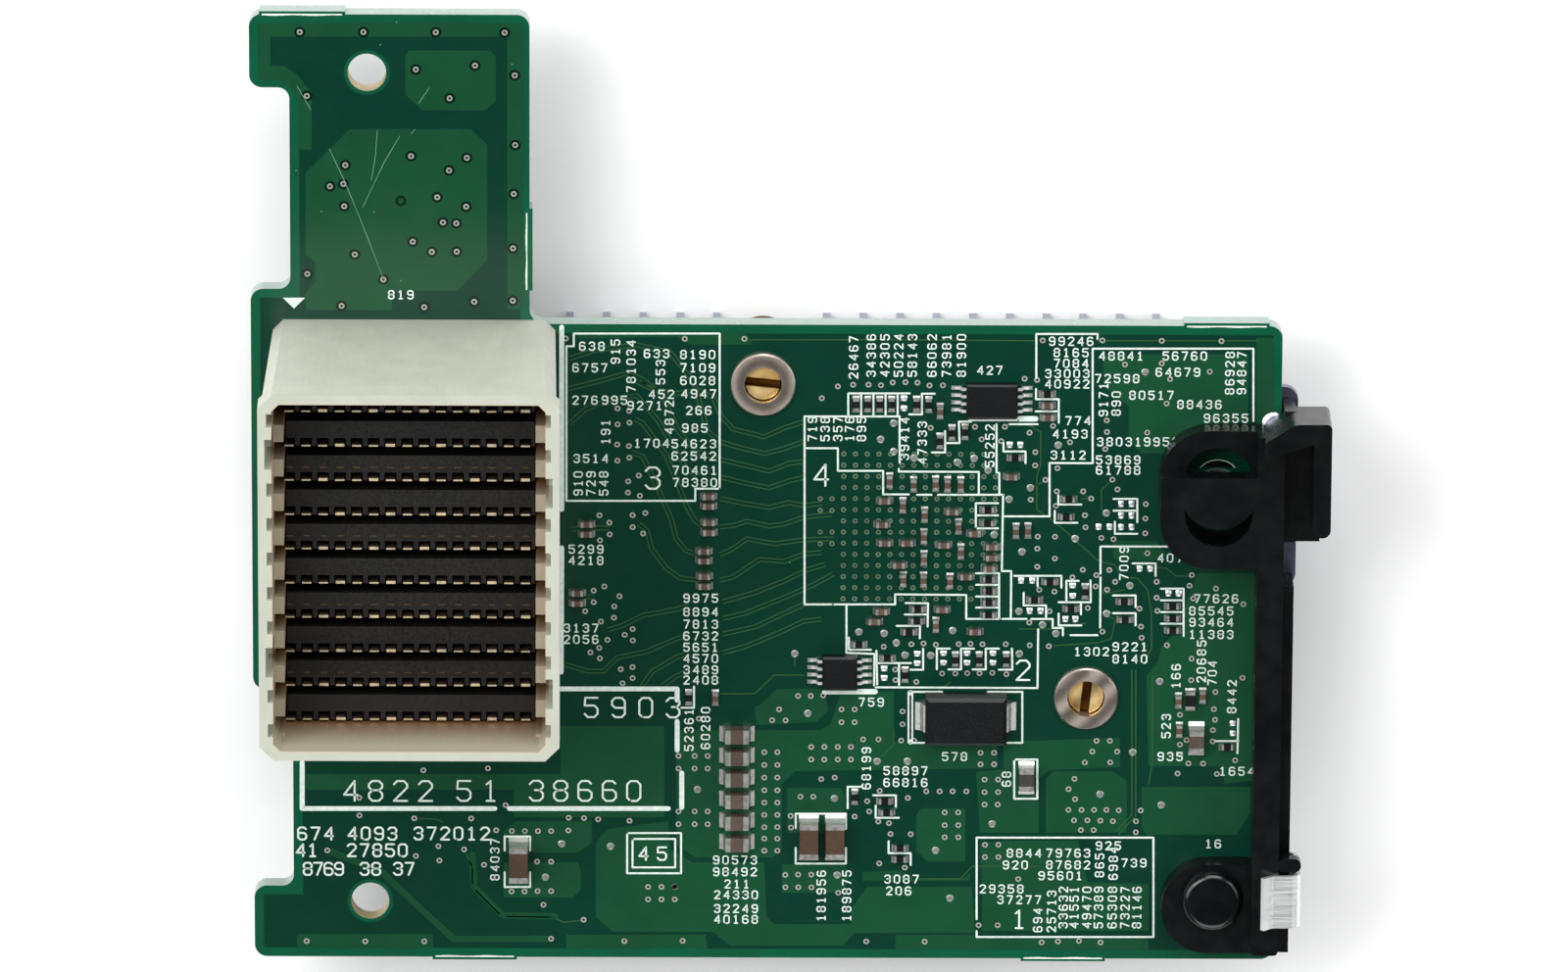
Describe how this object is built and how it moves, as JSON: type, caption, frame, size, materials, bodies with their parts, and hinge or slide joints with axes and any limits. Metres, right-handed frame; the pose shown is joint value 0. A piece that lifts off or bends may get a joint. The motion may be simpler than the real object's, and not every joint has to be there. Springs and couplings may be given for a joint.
{
  "type": "pcie mezzanine riser card",
  "caption": "L-shaped circuit board with a tall open plug-in connector, a finned heatsink underneath and a black guide bracket along one edge.",
  "frame": {"origin": "centre of the footprint at the heatsink's fin tips, on which the card lies with its connector up", "axes": "+Z out of the connector's mouth, +X along the board from the connector to the guide bracket, +Y up the board's tab"},
  "size_m": [0.0922, 0.0848, 0.0371],
  "materials": {
    "board_laminate": "green solder mask, satin",
    "housing_plastic": "cream moulded, satin",
    "wafer_plastic": "black moulded, matte",
    "contact_gold": "gold flashed",
    "sink_aluminium": "extruded, anodised clear",
    "gap_pad": "soft, matte",
    "lid_metal": "nickel plated",
    "substrate_laminate": "satin",
    "bush_metal": "tin plated",
    "screw_metal": "turned",
    "spring_steel": "drawn",
    "bracket_plastic": "black moulded, satin",
    "rivet_plastic": "black moulded, satin",
    "plate_steel": "zinc plated",
    "clip_steel": "bright rolled",
    "capacitor_brown": "fired, satin",
    "resistor_black": "glazed",
    "ferrite_grey": "fired, matte",
    "terminal_tin": "tin plated",
    "tantalum_moulding": "moulded, matte",
    "chip_moulding": "moulded, matte",
    "lead_tin": "tin plated",
    "inductor_case": "pressed powder, matte",
    "crystal_steel": "drawn"
  },
  "bodies": {
    "root": {"circuit_board": "board_laminate", "connector_housing": "housing_plastic", "heatsink": "sink_aluminium", "thermal_pad": "gap_pad", "chip_lid": "lid_metal", "chip_substrate": "substrate_laminate", "threaded_bushes": "bush_metal", "heatsink_screws": "screw_metal", "heatsink_springs": "spring_steel", "guide_bracket": "bracket_plastic", "bracket_rivet": "rivet_plastic", "backing_plate": "plate_steel", "spring_clip": "clip_steel", "small_capacitors": "capacitor_brown", "bulk_capacitors": "capacitor_brown", "large_capacitors": "capacitor_brown", "chip_resistors": "resistor_black", "ferrite_bead": "ferrite_grey", "small_capacitor_ends": "terminal_tin", "bulk_capacitor_ends": "terminal_tin", "large_capacitor_ends": "terminal_tin", "chip_resistor_ends": "terminal_tin", "ferrite_bead_ends": "terminal_tin", "tantalum_capacitor": "tantalum_moulding", "tantalum_terminals": "terminal_tin", "rear_tantalums": "tantalum_moulding", "rear_tantalum_terminals": "terminal_tin", "upper_chip": "chip_moulding", "lower_chip": "chip_moulding", "memory_chip": "chip_moulding", "upper_chip_leads": "lead_tin", "lower_chip_leads": "lead_tin", "memory_chip_leads": "lead_tin", "power_inductors": "inductor_case", "inductor_cores": "inductor_case", "crystal_can": "crystal_steel", "contact_wafer_01": "wafer_plastic", "contact_row_01": "contact_gold", "contact_wafer_02": "wafer_plastic", "contact_row_02": "contact_gold", "contact_wafer_03": "wafer_plastic", "contact_row_03": "contact_gold", "contact_wafer_04": "wafer_plastic", "contact_row_04": "contact_gold", "contact_wafer_05": "wafer_plastic", "contact_row_05": "contact_gold", "contact_wafer_06": "wafer_plastic", "contact_row_06": "contact_gold", "contact_wafer_07": "wafer_plastic", "contact_row_07": "contact_gold", "contact_wafer_08": "wafer_plastic", "contact_row_08": "contact_gold", "contact_wafer_09": "wafer_plastic", "contact_row_09": "contact_gold", "contact_wafer_10": "wafer_plastic", "contact_row_10": "contact_gold"}
  },
  "joints": []
}
